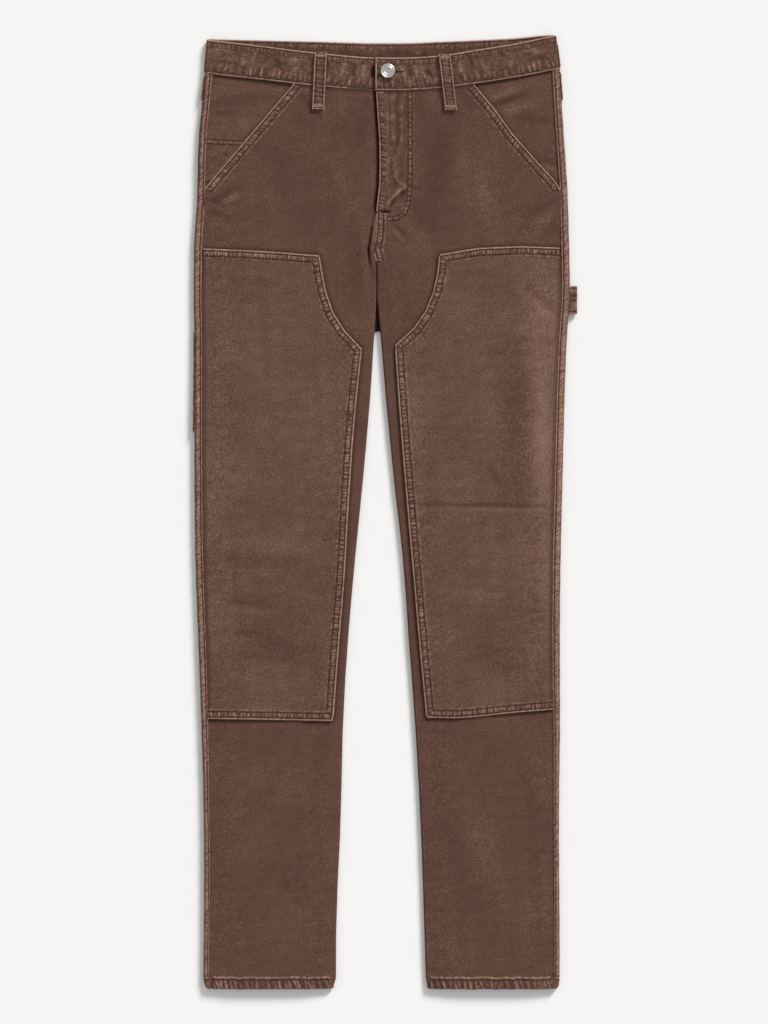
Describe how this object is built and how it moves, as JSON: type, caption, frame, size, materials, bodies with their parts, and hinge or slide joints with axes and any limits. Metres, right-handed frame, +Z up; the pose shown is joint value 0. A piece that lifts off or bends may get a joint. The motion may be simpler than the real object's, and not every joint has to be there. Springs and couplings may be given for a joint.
{
  "type": "carpenter pants",
  "caption": "Brown canvas carpenter pants laid flat with the front up, with scooped knee overlays, slanted pockets, belt loops, a side hammer loop and a metal waist button.",
  "frame": {"origin": "on the surface that the pants lie on, under the middle of their outline", "axes": "+Y from the hems to the waist, +X to the wearer's left, +Z up from the surface, out of the front"},
  "size_m": [0.4346, 1.0786, 0.0105],
  "materials": {
    "canvas": "washed brown cotton canvas, matt, lighter on the seam ridges",
    "button_metal": "plain silver metal, softly polished"
  },
  "bodies": {
    "root": {"front_right": "canvas", "front_left": "canvas", "back_right": "canvas", "back_left": "canvas", "knee_panel_right": "canvas", "knee_panel_left": "canvas", "pocket_facing_right": "canvas", "pocket_facing_left": "canvas", "waistband_right": "canvas", "waistband_left": "canvas", "belt_loop_side_right": "canvas", "belt_loop_side_left": "canvas", "belt_loop_front_right": "canvas", "belt_loop_front_left": "canvas", "coin_pocket": "canvas", "fly_shield": "canvas", "tool_pocket": "canvas", "hammer_loop": "canvas", "button": "button_metal"}
  },
  "joints": []
}
